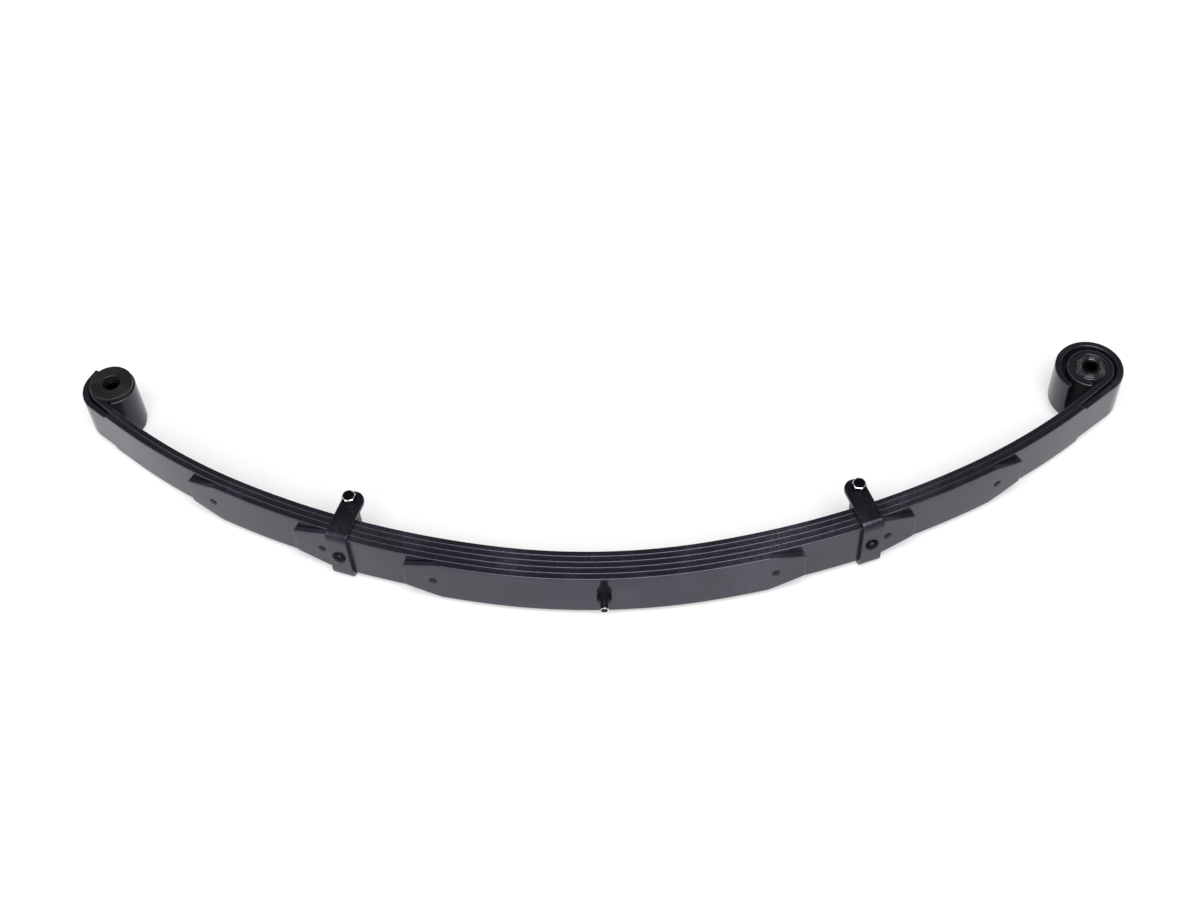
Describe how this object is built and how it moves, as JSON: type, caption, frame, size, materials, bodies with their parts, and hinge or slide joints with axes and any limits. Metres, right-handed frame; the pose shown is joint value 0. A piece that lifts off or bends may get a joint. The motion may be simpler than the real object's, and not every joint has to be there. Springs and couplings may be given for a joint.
{
  "type": "leaf spring",
  "caption": "Semi-elliptic leaf spring of stacked curved leaves with two wrapped end eyes, bushings and bolted rebound clips",
  "frame": {"origin": "on the centre bolt's axis, on the concave face of the main leaf, halfway across its width", "axes": "+X along the spring toward the right eye, +Y toward the concave side and the eyes, +Z across the leaf width; the spring lies on its side"},
  "size_m": [1.2159, 0.3374, 0.0874],
  "materials": {
    "leaf_paint": "semi-gloss black paint",
    "clip_paint": "semi-gloss black paint",
    "fastener_paint": "black paint, worn to bare steel on some edges",
    "spacer_steel": "thin grey overspray on steel",
    "sleeve_steel": "dull dark steel",
    "pad_plastic": "matt plastic",
    "bushing_plastic": "matt polyurethane",
    "bushing_rubber": "rubber dusted with paint"
  },
  "bodies": {
    "leaf_pack": {"main_leaf": "leaf_paint", "second_leaf": "leaf_paint", "third_leaf": "leaf_paint", "fourth_leaf": "leaf_paint", "fifth_leaf": "leaf_paint", "centre_bolt": "fastener_paint", "centre_nut": "fastener_paint"},
    "left_arm": {"left_bushing_upper_half": "bushing_plastic", "left_bushing_lower_half": "bushing_plastic", "left_clip_strap": "clip_paint", "left_clip_rivet": "fastener_paint", "left_clip_bolt": "fastener_paint", "third_leaf_left_pad": "pad_plastic", "fourth_leaf_left_pad": "pad_plastic", "fifth_leaf_left_pad": "pad_plastic"},
    "right_arm": {"right_bushing_can": "clip_paint", "right_bushing_rubber": "bushing_rubber", "right_clip_strap": "clip_paint", "right_clip_rivet": "fastener_paint", "right_clip_bolt": "fastener_paint", "third_leaf_right_pad": "pad_plastic", "fourth_leaf_right_pad": "pad_plastic", "fifth_leaf_right_pad": "pad_plastic"},
    "left_sleeve": {"left_bushing_sleeve": "sleeve_steel"},
    "right_sleeve": {"right_bushing_sleeve": "sleeve_steel"},
    "left_spacer": {"left_clip_spacer": "spacer_steel"},
    "right_spacer": {"right_clip_spacer": "spacer_steel"}
  },
  "joints": [
    {"name": "left_arm_flex", "type": "hinge", "parent": "leaf_pack", "child": "left_arm", "pos_m": [-0.09206, -0.01207, 0], "axis": [0, 0, 1], "range_deg": [-3, 16], "stiffness_Nm_per_rad": 5400, "deforming": ["main_leaf", "second_leaf", "third_leaf", "fourth_leaf", "fifth_leaf"]},
    {"name": "right_arm_flex", "type": "hinge", "parent": "leaf_pack", "child": "right_arm", "pos_m": [0.09206, -0.01207, 0], "axis": [0, 0, -1], "range_deg": [-3, 16], "stiffness_Nm_per_rad": 5400, "deforming": ["main_leaf", "second_leaf", "third_leaf", "fourth_leaf", "fifth_leaf"]},
    {"name": "left_sleeve_turn", "type": "hinge", "parent": "left_arm", "child": "left_sleeve", "pos_m": [-0.57477, 0.24646, 0], "axis": [0, 0, 1], "range_deg": [-40, 40]},
    {"name": "right_sleeve_twist", "type": "hinge", "parent": "right_arm", "child": "right_sleeve", "pos_m": [0.56558, 0.23777, 0], "axis": [0, 0, 1], "range_deg": [-20, 20], "stiffness_Nm_per_rad": 40},
    {"name": "left_spacer_roll", "type": "hinge", "parent": "left_arm", "child": "left_spacer", "pos_m": [-0.28128, 0.07069, 0], "axis": [0, 0, 1], "continuous": true},
    {"name": "right_spacer_roll", "type": "hinge", "parent": "right_arm", "child": "right_spacer", "pos_m": [0.28314, 0.07135, 0], "axis": [0, 0, 1], "continuous": true}
  ]
}
